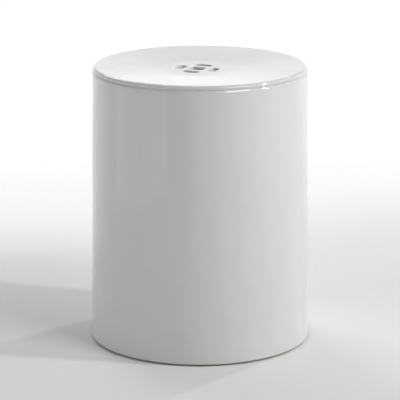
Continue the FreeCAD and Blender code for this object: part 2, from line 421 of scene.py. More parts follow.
@dataclass
class NodeSheet:
    """Draws the nodes of one material or group, one at a time."""

    tree: NodeTree

    def add(self, kind: str, **values: object) -> Node:
        """Add a node and set its properties."""
        node = self.tree.nodes.new(kind)
        for name, value in values.items():
            setattr(node, name, value)
        return node

    def feed(self, socket: NodeSocket, value: object) -> None:
        """Set a socket to a plain value, or link it to another socket."""
        if isinstance(value, NodeSocket):
            self.tree.links.new(value, socket)
        else:
            socket.default_value = value

    def math(self, operation: str, *values: object) -> NodeSocket:
        """Work out a number from one, two or three others."""
        node = self.add("ShaderNodeMath", operation=operation)
        for socket, value in zip(node.inputs, values):
            self.feed(socket, value)
        return node.outputs[0]

    def fill(self, node: Node, names: str, *values: object) -> None:
        """Feed a node's inputs, whose names are given in one line with commas between."""
        for name, value in zip(names.split(", "), values):
            self.feed(node.inputs[name], value)

    def split(self, place: object) -> NodeOutputs:
        """Split a place into X, Y and Z."""
        node = self.add("ShaderNodeSeparateXYZ")
        self.feed(node.inputs[0], place)
        return node.outputs

    def spread(self, value: object, low: float, high: float, start: float, end: float) -> NodeSocket:
        """Map a value from one span softly onto another, and hold it there."""
        node = self.add("ShaderNodeMapRange", interpolation_type="SMOOTHSTEP")
        self.fill(node, "Value, From Min, From Max, To Min, To Max", value, low, high, start, end)
        return node.outputs["Result"]

    def ramp(self, value: object, low: float, high: float, end: float) -> NodeSocket:
        """Raise a value evenly from nothing at one number to an end value at another."""
        share = self.math("DIVIDE", self.math("SUBTRACT", value, low), high - low)
        return self.math("MULTIPLY", self.math("MINIMUM", self.math("MAXIMUM", share, 0.0), 1.0), end)

    def noise(self, place: object, scale: object, detail: float = 2.0, twist: float = 0.0) -> NodeSocket:
        """Draw soft noise, as a number from 0 to 1."""
        node = self.add("ShaderNodeTexNoise")
        self.fill(node, "Vector, Scale, Detail, Distortion", place, scale, detail, twist)
        return node.outputs["Fac"]

    def blend(self, share: object, first: object, second: object) -> NodeSocket:
        """Blend two colours."""
        node = self.add("ShaderNodeMix", data_type="RGBA")
        for socket, value in zip((node.inputs[0], node.inputs[6], node.inputs[7]), (share, first, second)):
            self.feed(socket, value)
        return node.outputs[2]

    def bump(self, height: object, distance: float) -> NodeSocket:
        """Turn heights, from 0 to 1, into a bent normal."""
        node = self.add("ShaderNodeBump")
        self.fill(node, "Height, Distance, Strength", height, distance, 1.0)
        return node.outputs["Normal"]

    def use(self, group: NodeTree, place: object, **values: object) -> NodeSocket:
        """Add a shared group, feed its inputs and give what it puts out."""
        node = self.add("ShaderNodeGroup", node_tree=group)
        self.feed(node.inputs["Place"], place)
        for name, value in values.items():
            self.feed(node.inputs[name.replace("_", " ")], value)
        return node.outputs[0]

    def clouds(self, place: object, scale: float, detail: float, first: Colour, second: Colour) -> NodeSocket:
        """Blend two colours in soft clouds."""
        return self.blend(self.spread(self.noise(place, scale, detail), 0.3, 0.7, 0.0, 1.0), first, second)

    def tint(self, amount: object, share: float, colour: object, other: Colour) -> NodeSocket:
        """Blend a share of another colour in, where an amount says."""
        return self.blend(self.math("MULTIPLY", amount, share), colour, other)


def new_group(name: str, output: str, **inputs: float) -> tuple[NodeSheet, NodeOutputs, NodeSocket]:
    """Start a shared node group that puts out one number.

    Args:
        name: The group's name.
        output: The name of its output.
        **inputs: What its numbers start at. It takes a place on the object besides.

    Returns:
        The sheet to draw the group on, its incoming values, and the socket to feed at the end.
    """
    tree = bpy.data.node_groups.new(name, "ShaderNodeTree")
    tree.interface.new_socket("Place", in_out="INPUT", socket_type="NodeSocketVector")
    for label, start in inputs.items():
        socket = tree.interface.new_socket(label.replace("_", " "), in_out="INPUT", socket_type=NUMBER)
        socket.default_value = start
    tree.interface.new_socket(output, in_out="OUTPUT", socket_type=NUMBER)
    sheet = NodeSheet(tree)
    return sheet, sheet.add("NodeGroupInput").outputs, sheet.add("NodeGroupOutput").inputs[output]


class SharedNodes:
    """Node groups that the finishes are drawn with, each built once."""

    def __init__(self) -> None:
        """Build the groups."""
        self.level_band = self.draw_level_band()
        self.flecks = self.draw_flecks()
        self.waver = self.draw_waver()
        self.turning_marks = self.draw_turning_marks()

    @staticmethod
    def draw_level_band() -> NodeTree:
        """Mark a soft band round the stool at one height."""
        sheet, given, result = new_group("level_band", "Amount", Height=0.0, Reach=0.002, Raggedness=0.0)
        height = sheet.split(given["Place"])["Z"]
        ragged = sheet.math("SUBTRACT", sheet.noise(given["Place"], 60.0, detail=3.0), 0.5)
        shifted = sheet.math("MULTIPLY_ADD", ragged, given["Raggedness"], height)
        away = sheet.math("DIVIDE", sheet.math("SUBTRACT", shifted, given["Height"]), given["Reach"])
        bell = sheet.math("DIVIDE", 1.0, sheet.math("MULTIPLY_ADD", away, away, 1.0))
        sheet.feed(result, sheet.math("POWER", bell, 1.5))
        return sheet.tree

    @staticmethod
    def draw_flecks() -> NodeTree:
        """Scatter small soft specks, some larger than others."""
        sheet, given, result = new_group("flecks", "Amount", Scale=400.0, Size=0.2, Share=0.5)
        cells = sheet.add("ShaderNodeTexVoronoi", feature="F1")
        sheet.fill(cells, "Vector, Scale", given["Place"], given["Scale"])
        tint = sheet.add("ShaderNodeSeparateColor")
        sheet.feed(tint.inputs[0], cells.outputs["Color"])
        own_size = sheet.math("MULTIPLY", given["Size"], sheet.math("ADD", 0.4, tint.outputs["Green"]))
        inside = sheet.math("SUBTRACT", 1.0, sheet.math("DIVIDE", cells.outputs["Distance"], own_size))
        chosen = sheet.math("LESS_THAN", tint.outputs["Red"], given["Share"])
        sheet.feed(result, sheet.math("MULTIPLY", sheet.math("MAXIMUM", inside, 0.0), chosen))
        return sheet.tree

    @staticmethod
    def draw_waver() -> NodeTree:
        """Draw the soft waver of a surface that has flowed, broad and fine together."""
        sheet, given, result = new_group("waver", "Height", Broad=30.0, Fine=300.0, Fine_share=0.1)
        broad = sheet.noise(given["Place"], given["Broad"], detail=1.0)
        fine = sheet.noise(given["Place"], given["Fine"], detail=1.0)
        sheet.feed(result, sheet.math("MULTIPLY_ADD", fine, given["Fine share"], broad))
        return sheet.tree

    @staticmethod
    def draw_turning_marks() -> NodeTree:
        """Draw the rings that a potter's fingers and tools leave round the axis."""
        sheet, given, result = new_group("turning_marks", "Height", Pitch=0.003, Wander=0.002)
        place = sheet.split(given["Place"])
        across = sheet.math("SQRT", sheet.math(
            "ADD",
            sheet.math("MULTIPLY", place["X"], place["X"]),
            sheet.math("MULTIPLY", place["Y"], place["Y"]),
        ))
        along = sheet.math("ADD", across, place["Z"])
        wander = sheet.math("MULTIPLY", sheet.noise(given["Place"], 14.0), given["Wander"])
        turns = sheet.math("DIVIDE", sheet.math("ADD", along, wander), given["Pitch"])
        wave = sheet.math("SINE", sheet.math("MULTIPLY", turns, math.tau))
        uneven = sheet.noise(given["Place"], 90.0, detail=3.0)
        sheet.feed(result, sheet.math("MULTIPLY_ADD", wave, 0.25, uneven))
        return sheet.tree


def new_material(name: str) -> tuple[Material, NodeSheet, Node, NodeSocket]:
    """Start a material.

    Args:
        name: The material's name.

    Returns:
        The material, the sheet to draw it on, its shader, and the place on the object in metres.
    """
    material = bpy.data.materials.new(name)
    material.use_nodes = True
    sheet = NodeSheet(material.node_tree)
    shader = material.node_tree.nodes["Principled BSDF"]
    place = sheet.add("ShaderNodeTexCoord").outputs["Object"]
    return material, sheet, shader, place


@dataclass(frozen=True)
class GlazeFinish:
    """Thick, glossy, opaque white glaze, warm where it thins, with a cooler, darker band at the joint that is
    part pooled glaze and part painted shade of the joint's valley.
    """

    body: Colour = (0.79, 0.79, 0.787, 1.0)
    cloud: Colour = (0.78, 0.78, 0.777, 1.0)
    pooled_and_shaded: Colour = (0.62, 0.66, 0.64, 1.0)
    thin: Colour = (0.60, 0.53, 0.43, 1.0)
    speck: Colour = (0.50, 0.45, 0.38, 1.0)
    sheen: tuple[float, float] = (0.045, 0.08)

    def make(self, shared: SharedNodes, joint: float, lower_edge: float) -> Material:
        """Make the material.

        Args:
            shared: The shared node groups.
            joint: Height of the joint between seat and drum.
            lower_edge: Height of the glaze's lower edge.

        Returns:
            The material.
        """
        material, sheet, shader, place = new_material("white_glaze")
        colour = sheet.clouds(place, 30.0, 3.0, self.body, self.cloud)
        # Band round the joint between seat and drum: a cooler tint of pooled glaze, darkened further as
        # painted shade of the valley there.
        pool_and_shade = sheet.use(shared.level_band, place, Height=joint, Reach=1.3 * MM, Raggedness=1.0 * MM)
        colour = sheet.tint(pool_and_shade, 0.7, colour, self.pooled_and_shaded)
        edge = sheet.use(shared.level_band, place, Height=lower_edge, Reach=0.9 * MM, Raggedness=0.8 * MM)
        colour = sheet.tint(edge, 0.8, colour, self.thin)
        specks = sheet.use(shared.flecks, place, Scale=42.0, Size=0.022, Share=0.35)
        colour = sheet.tint(specks, 0.55, colour, self.speck)
        waver = sheet.use(shared.waver, place, Broad=26.0, Fine=240.0, Fine_share=0.035)
        rough = sheet.spread(sheet.noise(place, 9.0), 0.3, 0.7, *self.sheen)
        sheet.fill(shader, SURFACE, colour, rough, sheet.bump(waver, 0.35 * MM))
        return material


@dataclass(frozen=True)
class ClayFinish:
    """Bare buff stoneware, turned on the wheel, with dark grains of iron in it."""

    body: Colour = (0.50, 0.43, 0.33, 1.0)
    shade: Colour = (0.39, 0.32, 0.235, 1.0)
    grain: Colour = (0.13, 0.095, 0.07, 1.0)
    pitch: float = 2.6 * MM

    def make(self, shared: SharedNodes) -> Material:
        """Make the material."""
        material, sheet, shader, place = new_material("bare_stoneware")
        colour = sheet.clouds(place, 18.0, 4.0, self.body, self.shade)
        grains = sheet.use(shared.flecks, place, Scale=260.0, Size=0.30, Share=0.16)
        colour = sheet.tint(grains, 0.9, colour, self.grain)
        marks = sheet.use(shared.turning_marks, place, Pitch=self.pitch, Wander=3.0 * MM)
        sand = sheet.noise(place, 1500.0, detail=2.0)
        height = sheet.math("MULTIPLY_ADD", sand, 0.35, marks)
        rough = sheet.spread(sand, 0.2, 0.8, 0.78, 0.95)
        sheet.fill(shader, SURFACE, colour, rough, sheet.bump(height, 0.18 * MM))
        shader.inputs["Specular IOR Level"].default_value = 0.3
        return material


@dataclass(frozen=True)
class SlipFinish:
    """Clay slip that was run into a corner and wiped with a finger."""

    body: Colour = (0.56, 0.49, 0.385, 1.0)
    shade: Colour = (0.44, 0.37, 0.28, 1.0)
    grain: Colour = (0.16, 0.12, 0.09, 1.0)

    def make(self, shared: SharedNodes) -> Material:
        """Make the material."""
        material, sheet, shader, place = new_material("wiped_slip")
        colour = sheet.clouds(place, 34.0, 3.0, self.body, self.shade)
        grains = sheet.use(shared.flecks, place, Scale=420.0, Size=0.26, Share=0.1)
        colour = sheet.tint(grains, 0.8, colour, self.grain)
        smear = sheet.use(shared.waver, place, Broad=120.0, Fine=700.0, Fine_share=0.25)
        rough = sheet.spread(smear, 0.4, 0.8, 0.62, 0.85)
        sheet.fill(shader, SURFACE, colour, rough, sheet.bump(smear, 0.5 * MM))
        return material


@dataclass(frozen=True)
class FeltFinish:
    """Pressed brown wool felt."""

    body: Colour = (0.095, 0.068, 0.046, 1.0)
    light: Colour = (0.19, 0.145, 0.10, 1.0)

    def make(self, shared: SharedNodes) -> Material:
        """Make the material."""
        material, sheet, shader, place = new_material("brown_felt")
        twisted = sheet.noise(place, 900.0, detail=4.0, twist=2.5)
        fibres = sheet.use(shared.waver, place, Broad=420.0, Fine=2600.0, Fine_share=0.5)
        height = sheet.math("ADD", fibres, twisted)
        colour = sheet.blend(sheet.spread(twisted, 0.35, 0.7, 0.0, 1.0), self.body, self.light)
        rough = sheet.spread(twisted, 0.2, 0.8, 0.88, 1.0)
        sheet.fill(shader, SURFACE, colour, rough, sheet.bump(height, 0.3 * MM))
        shader.inputs["Sheen Weight"].default_value = 0.25
        shader.inputs["Sheen Roughness"].default_value = 0.6
        return material


@dataclass(frozen=True)
class FloorFinish:
    """Matt pale floor with painted light: it glows a little everywhere, and more behind the stool, fading to
    white as a lit background would light it in a studio.
    """

    body: Colour = (0.80, 0.80, 0.80, 1.0)
    glow: float = 0.03
    slant: float = -0.35
    fades: tuple[tuple[float, float, float], ...] = ((0.15, 0.85, 0.2), (0.5, 1.4, 0.2), (1.6, 3.0, 0.2))

    def make(self) -> Material:
        """Make the material, with each fade's start, end and brightness laid over the even glow."""
        material, sheet, shader, place = new_material("studio_floor")
        spot = sheet.split(place)
        behind = sheet.math("MULTIPLY_ADD", spot["X"], self.slant, spot["Y"])
        # The glow is painted light, standing in for the light of the background behind the stool.
        glow = self.glow
        for start, end, strength in self.fades:
            glow = sheet.math("ADD", sheet.ramp(behind, start, end, strength), glow)
        shader.inputs["Base Color"].default_value = self.body
        shader.inputs["Roughness"].default_value = 0.9
        shader.inputs["Emission Color"].default_value = (1.0, 1.0, 1.0, 1.0)
        sheet.feed(shader.inputs["Emission Strength"], glow)
        return material


# Sizes of the stool.


@dataclass(frozen=True)
class StoolSizes:
    """Places and sizes of the stool, read from the CAD frame where its boxes give them."""

    crest: float
    rim_radius: float
    joint: float
    glaze_end: float
    foot: float
    foot_radius: float
    underside: float
    ring_top: float
    ring_radius: float
    rim_step: float = 1.1 * MM
    rim_round: float = 5.0 * MM
    valley: float = 0.5 * MM
    dish_depth: float = 6.3 * MM
    glaze: float = 0.6 * MM
    wall: float = 10.0 * MM
    foot_round: float = 1.0 * MM
    ring_width: float = 32.0 * MM
    ring_round: float = 3.0 * MM
    bead: float = 8.0 * MM
    pad_radius: float = 12.5 * MM

    @classmethod
    def from_frame(cls) -> "StoolSizes":
        """Read the sizes from the CAD nodes' boxes."""
        seat_low, seat_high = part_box("seat_glaze")
        wall_low, wall_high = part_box("wall_glaze")
        ring_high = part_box("base_ring")[1]
        return cls(
            crest=seat_high.z,
            rim_radius=seat_high.x,
            joint=wall_high.z,
            glaze_end=wall_low.z,
            foot=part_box("drum_wall")[0].z,
            foot_radius=wall_high.x - SET_BACK,
            underside=seat_low.z,
            ring_top=ring_high.z,
            ring_radius=ring_high.x,
        )

    def drum_radius(self, height: float) -> float:
        """Give the radius of the glazed drum at a height."""
        top = self.rim_radius + self.rim_step
        down = (self.joint - height) / (self.joint - self.glaze_end)
        return top + (self.foot_radius - top) * down

    def inner_radius(self, height: float) -> float:
        """Give the radius of the drum's hollow at a height."""
        return self.drum_radius(height) - self.glaze - self.wall

    def crest_radius(self) -> float:
        """Give the radius at which the seat's dish meets the rounding of the rim."""
        return self.rim_radius - self.rim_round


@dataclass(frozen=True)
class Coin:
    """The cash-coin pattern of openings in the seat."""

    shift: float = 4.5 * MM
    turn: float = 67.5
    hole: float = 22.0 * MM
    web: float = 11.5 * MM
    slot_length: float = 26.4 * MM
    slot_width: float = 12.5 * MM
    corner: float = 2.4 * MM
    lip: float = 2.4 * MM
    hold: float = 0.2 * MM
    margin: float = 0.7 * MM
    slots: int = 4
    corner_steps: int = 6
    lip_steps: int = 7
    arc_points: int = 180
    sharp_angle: float = 150.0
    clearance: float = 1.2

    def flat_radius(self) -> float:
        """Give the radius of the flat ground that holds the whole pattern."""
        return self.shift + self.hole / 2 + self.web + self.slot_width + self.lip + self.margin

    def place(self, obj: Object, turn: float, height: float) -> None:
        """Turn an outline and put it on the pattern's middle."""
        obj.rotation_euler.z = math.radians(turn)
        obj.location = (-self.shift, 0.0, height)
        settle(obj)

    def blunt_corners(self, obj: Object, radius: float) -> None:
        """Round the sharp corners of a flat face.

        Points of an arc that lie close to a corner are taken out first, because the rounding
        can't reach past them.

        Args:
            obj: The object that holds the one face.
            radius: Rounding of the corners.
        """
        open_mesh(obj, "VERT")
        mesh = bmesh.from_edit_mesh(obj.data)
        sharp = []
        for vertex in mesh.verts:
            first, second = (edge.other_vert(vertex).co - vertex.co for edge in vertex.link_edges)
            if first.angle(second) < math.radians(self.sharp_angle):
                sharp.append(vertex.co.copy())

        def gap(vertex: bmesh.types.BMVert) -> float:
            """Give the distance to the nearest corner."""
            return min((vertex.co - corner).length for corner in sharp)

        pick(obj, "verts", lambda vertex: SAME_PLACE < gap(vertex) < self.clearance * radius)
        if any(vertex.select for vertex in mesh.verts):
            bpy.ops.mesh.dissolve_verts()
        pick(obj, "verts", lambda vertex: gap(vertex) <= SAME_PLACE)
        bpy.ops.mesh.bevel(offset=radius, segments=self.corner_steps, profile=0.5, affect="VERTICES")
        close_mesh()

    def square(self, growth: float, height: float) -> Object:
        """Draw the square hole as a flat face."""
        obj = start_shape("plane", size=self.hole + 2 * growth)
        self.blunt_corners(obj, self.corner + growth)
        self.place(obj, self.turn, height)
        return obj

    def slot(self, growth: float) -> Object:
        """Draw one slot as a flat face, on the +Y side of the pattern's middle."""
        inside = self.hole / 2 + self.web - growth
        outside = self.hole / 2 + self.web + self.slot_width + growth
        half = self.slot_length / 2 + growth
        obj = start_shape("circle", vertices=self.arc_points, radius=outside, fill_type="NGON")
        open_mesh(obj)
        cuts = (
            ((0.0, inside, 0.0), (0.0, -1.0, 0.0)),
            ((half, 0.0, 0.0), (1.0, 0.0, 0.0)),
            ((-half, 0.0, 0.0), (-1.0, 0.0, 0.0)),
        )
        for place, away in cuts:
            bpy.ops.mesh.select_all(action="SELECT")
            bpy.ops.mesh.bisect(plane_co=place, plane_no=away, clear_outer=True)
        close_mesh()
        self.blunt_corners(obj, self.corner + growth)
        return obj

    def openings(self, growth: float, height: float) -> list[Object]:
        """Draw all the openings as flat faces.

        Args:
            growth: How much larger each opening is drawn, all round.
            height: Height of the faces.

        Returns:
            One object for each opening.
        """
        faces = [self.square(growth, height)]
        pattern = self.slot(growth)
        for number in range(self.slots):
            copy = copy_of(pattern)
            self.place(copy, self.turn + 360.0 * number / self.slots, height)
            faces.append(copy)
        bpy.data.objects.remove(pattern)
        return faces


# Glazed pieces.


@dataclass
class GlazedSeat:
    """The glaze over the seat: the dish, its rim, and the lips and walls of the openings."""

    sizes: StoolSizes
    coin: Coin
    finish: Material
    unevenness: Unevenness
    blend: float = 18.0 * MM
    even_reach: float = 27.0 * MM
    valley_rise: float = 1.8 * MM
    steps: int = 256

    def outline(self) -> Outline:
        """Draw the seat's section from the flat middle out to the joint."""
        sizes = self.sizes
        flat = self.coin.flat_radius()
        bottom = sizes.crest - sizes.dish_depth
        slope = sizes.dish_depth / (sizes.crest_radius() - flat)
        middle = bottom + slope * self.blend / 2
        drawn = Outline().to(flat, middle)
        blend_steps = 9
        for step in range(1, blend_steps + 1):
            run = self.blend * step / blend_steps
            drawn.to(flat + run, middle + slope * run * run / (2 * self.blend))
        tilt = math.degrees(math.atan(slope))
        edge_top = bottom + slope * (sizes.rim_radius - flat)
        tangent = sizes.rim_round * math.tan(math.radians(90.0 + tilt) / 2)
        centre = (sizes.rim_radius - sizes.rim_round, edge_top - tangent)
        start = math.radians(90.0 + tilt)
        drawn.to(
            centre[0] + sizes.rim_round * math.cos(start),
            centre[1] + sizes.rim_round * math.sin(start),
            steps=24,
        )
        drawn.round(centre, sizes.rim_round, 90.0 + tilt, 0.0, steps=12)
        drawn.to(sizes.rim_radius, sizes.joint + self.valley_rise, steps=3)
        drawn.ease(sizes.rim_radius - sizes.valley, sizes.joint, steps=6)
        return drawn

    def lay_ground(self, skin: Object, height: float) -> None:
        """Fill the flat middle of the seat round the openings.

        Args:
            skin: The seat's skin, open in the middle.
            height: Height of the flat middle.
        """
        faces = self.coin.openings(self.coin.lip + self.coin.hold, height)
        make_active(skin)
        for face in faces:
            face.select_set(True)
        bpy.ops.object.join()
        open_mesh(skin, "EDGE")
        reach = self.coin.flat_radius() + SAME_PLACE
        pick(skin, "edges", lambda edge: len(edge.link_faces) == 1 and all(
            from_axis(vertex.co) < reach for vertex in edge.verts))
        bpy.ops.mesh.fill(use_beauty=True)
        close_mesh()

    def pierce(self, skin: Object) -> None:
        """Roll the glaze over the openings' lips and down through the seat."""
        coin = self.coin
        reach = coin.flat_radius() - SAME_PLACE
        open_mesh(skin, "FACE")
        pick(skin, "faces", lambda face: len(face.verts) > MOST_CORNERS and all(
            from_axis(vertex.co) < reach for vertex in face.verts))
        for face in bmesh.from_edit_mesh(skin.data).faces:
            if face.select and face.normal.z < 0:
                face.normal_flip()
        bmesh.update_edit_mesh(skin.data)
        bpy.ops.mesh.inset(thickness=coin.hold, depth=0.0, use_individual=True)
        before = (0.0, 0.0)
        for step in range(1, coin.lip_steps + 1):
            angle = math.pi / 2 * step / coin.lip_steps
            now = (coin.lip * math.sin(angle), coin.lip * (1.0 - math.cos(angle)))
            bpy.ops.mesh.inset(thickness=now[0] - before[0], depth=before[1] - now[1], use_individual=True)
            before = now
        pierced = bmesh.from_edit_mesh(skin.data)
        height = next(face.verts[0].co.z for face in pierced.faces if face.select)
        wall_steps = 3
        drop = (self.sizes.underside - height) / wall_steps
        for _ in range(wall_steps):
            bpy.ops.mesh.extrude_region_move(TRANSFORM_OT_translate={"value": (0.0, 0.0, drop)})
        bpy.ops.mesh.delete(type="ONLY_FACE")
        close_mesh()

    def build(self) -> None:
        """Model the seat's glaze and put it on the stool."""
        drawn = self.outline()
        skin = drawn.turn("seat_skin", self.steps, closed=False)
        self.lay_ground(skin, drawn.points[0][1])
        self.pierce(skin)
        tidy_mesh(skin)
        flat = self.coin.flat_radius()
        weigh(skin, "open_glaze", lambda place: eased(from_axis(place), flat, flat + self.even_reach))
        self.unevenness.press(skin, "open_glaze")
        apply_modifier(skin, "SOLIDIFY", thickness=self.sizes.glaze, offset=-1.0, use_rim=True)
        smooth(skin)
        hand_over(skin, "seat_glaze_coat", self.finish, Slot.GLAZE, "seat_glaze")


@dataclass
class GlazedDrum:
    """The glaze over the drum's outside, from the joint down to its soft lower edge."""

    sizes: StoolSizes
    finish: Material
    unevenness: Unevenness
    shoulder: float = 3.8 * MM
    edge_turn: float = 75.0
    thickness: float = 0.9
    even_foot: tuple[float, float] = (5.0 * MM, 40.0 * MM)
    steps: int = 256
    rows: int = 72

    def outline(self) -> Outline:
        """Draw the glaze's section from the joint down to the foot."""
        sizes = self.sizes
        below = sizes.joint - self.shoulder
        end = sizes.glaze_end + sizes.glaze
        drawn = Outline().to(sizes.rim_radius - sizes.valley, sizes.joint)
        drawn.ease(sizes.drum_radius(below), below, steps=10)
        drawn.to(sizes.drum_radius(end), end, steps=self.rows)
        drawn.round((sizes.drum_radius(end) - sizes.glaze, end), sizes.glaze, 0.0, -self.edge_turn, steps=5)
        return drawn

    def build(self) -> None:
        """Model the drum's glaze and put it on the stool."""
        skin = self.outline().turn("drum_skin", self.steps, closed=False)
        weigh(skin, "open_glaze", lambda place: eased(place.z, *self.even_foot))
        self.unevenness.press(skin, "open_glaze")
        thickness = self.thickness * self.sizes.glaze
        apply_modifier(skin, "SOLIDIFY", thickness=thickness, offset=-1.0, use_rim=True)
        smooth(skin)
        hand_over(skin, "drum_glaze_coat", self.finish, Slot.GLAZE, "wall_glaze")


# Bare clay.


@dataclass
class ClaySlab:
    """The seat's bare clay under the glaze, with the turned underside that shows from below."""

    sizes: StoolSizes
    coin: Coin
    finish: Material
    cover: float = 1.5 * MM
    ripple: float = 0.22 * MM
    ripple_pitch: float = 9.0 * MM
    middle: float = 1.0 * MM
    overshoot: float = 2.0 * MM
    steps: int = 192

    def outline(self) -> Outline:
        """Draw the slab's section, from the middle of its underside out and back over its top."""
        sizes = self.sizes
        flat = self.coin.flat_radius()
        joint = sizes.joint - sizes.glaze
        slope_end = sizes.inner_radius(joint) - sizes.bead
        drawn = Outline().to(self.middle, sizes.underside).to(flat, sizes.underside, steps=5)
        waves = (slope_end - flat) / self.ripple_pitch
        drawn.ripple(slope_end, joint, steps=42, waves=waves, push=(0.0, self.ripple), soft=0.06)
        edge = sizes.rim_radius - self.cover
        top = sizes.crest - sizes.rim_round
        drawn.to(edge, joint).to(edge, top)
        drawn.to(sizes.crest_radius(), sizes.crest - self.cover)
        drawn.to(flat, sizes.crest - sizes.dish_depth - self.cover, steps=4)
        drawn.to(self.middle, sizes.crest - sizes.dish_depth - self.cover)
        return drawn

    def close_middle(self, slab: Object) -> None:
        """Close the small holes that the spin leaves at the axis, in the underside and the top.

        Where both lie below the joint, as they do at these sizes, they close onto one point.
        """
        open_mesh(slab)
        for below in (True, False):
            pick(slab, "verts", lambda vertex: from_axis(vertex.co) < self.middle + SAME_PLACE and (
                vertex.co.z < self.sizes.joint) == below)
            bpy.ops.mesh.merge(type="CENTER")
        close_mesh()

    def build(self) -> None:
        """Model the slab and put it on the stool."""
        slab = self.outline().turn("slab_clay", self.steps, closed=False)
        self.close_middle(slab)
        tidy_mesh(slab)
        depth = self.sizes.crest - self.sizes.underside + 2 * self.overshoot
        for cutter in self.coin.openings(self.sizes.glaze, self.sizes.underside - self.overshoot):
            open_mesh(cutter, "FACE")
            bpy.ops.mesh.select_all(action="SELECT")
            bpy.ops.mesh.extrude_region_move(TRANSFORM_OT_translate={"value": (0.0, 0.0, depth)})
            close_mesh()
            tidy_mesh(cutter)
            apply_modifier(slab, "BOOLEAN", operation="DIFFERENCE", object=cutter, solver="EXACT")
            bpy.data.objects.remove(cutter)
        smooth(slab, corner=35)
        hand_over(slab, "seat_clay", self.finish, Slot.STONEWARE, "seat_slab")


@dataclass
class ClayDrum:
    """The drum's bare clay: the foot below the glaze and the thrown inside."""

    sizes: StoolSizes
    finish: Material
    cover: float = 2.2 * MM
    upright: float = 2.0 * MM
    bare: float = 12.0 * MM
    ripple: float = 0.4 * MM
    ripple_pitch: float = 13.0 * MM
    steps: int = 224

    def outline(self) -> Outline:
        """Draw the drum's section, up the outside and down the inside."""
        sizes = self.sizes
        foot, corner = sizes.foot, sizes.foot_round
        clay = sizes.drum_radius(foot + corner) - sizes.glaze
        top = sizes.joint - sizes.glaze
        drawn = Outline().to(sizes.inner_radius(foot), foot)
        drawn.to(clay - corner, foot, steps=4)
        drawn.round((clay - corner, foot + corner), corner, -90.0, 0.0, steps=6)
        under_glaze = foot + self.bare
        drawn.to(clay - SET_BACK, foot + corner + self.upright)
        drawn.to(sizes.drum_radius(under_glaze) - self.cover, under_glaze)
        drawn.to(sizes.drum_radius(top) - self.cover - sizes.rim_step, top, steps=6)
        drawn.to(sizes.inner_radius(top), top, steps=2)
        low, high = sizes.ring_top + sizes.bead, top - sizes.bead
        drawn.to(sizes.inner_radius(high), high)
        waves = (high - low) / self.ripple_pitch
        return drawn.ripple(
            sizes.inner_radius(low), low, steps=150, waves=waves, push=(self.ripple, 0.0), soft=0.03
        )

    def build(self) -> None:
        """Model the drum and put it on the stool."""
        drum = self.outline().turn("drum_clay", self.steps, closed=True)
        smooth(drum, corner=40)
        hand_over(drum, "drum_body_clay", self.finish, Slot.STONEWARE, "drum_wall")


@dataclass
class ClayRing:
    """The ring slab luted into the drum's foot, with a softened edge round its open centre."""

    sizes: StoolSizes
    finish: Material
    unevenness: Unevenness
    joint_edge: float = 3.0 * MM
    even_edge: float = 8.0 * MM
    steps: int = 224

    def outline(self) -> Outline:
        """Draw the ring's section."""
        sizes = self.sizes
        foot, top, corner = sizes.foot, sizes.ring_top, sizes.ring_round
        outside = sizes.inner_radius(foot)
        inside = outside - sizes.ring_width
        drawn = Outline().to(outside, foot).to(sizes.inner_radius(top), top)
        drawn.to(inside + corner, top, steps=10)
        drawn.round((inside + corner, top - corner), corner, 90.0, 180.0, steps=6)
        drawn.to(inside, foot + corner, steps=3)
        drawn.round((inside + corner, foot + corner), corner, 180.0, 270.0, steps=6)
        drawn.to(outside - MM, foot, steps=10)
        return drawn

    def build(self) -> None:
        """Model the ring and put it on the stool."""
        ring = self.outline().turn("ring_clay", self.steps, closed=True)
        reach = self.sizes.ring_radius - self.joint_edge
        weigh(ring, "open_clay", lambda place: 1.0 - eased(from_axis(place), reach - self.even_edge, reach))
        self.unevenness.press(ring, "open_clay")
        smooth(ring, corner=50)
        hand_over(ring, "base_ring_clay", self.finish, Slot.STONEWARE, "base_ring")


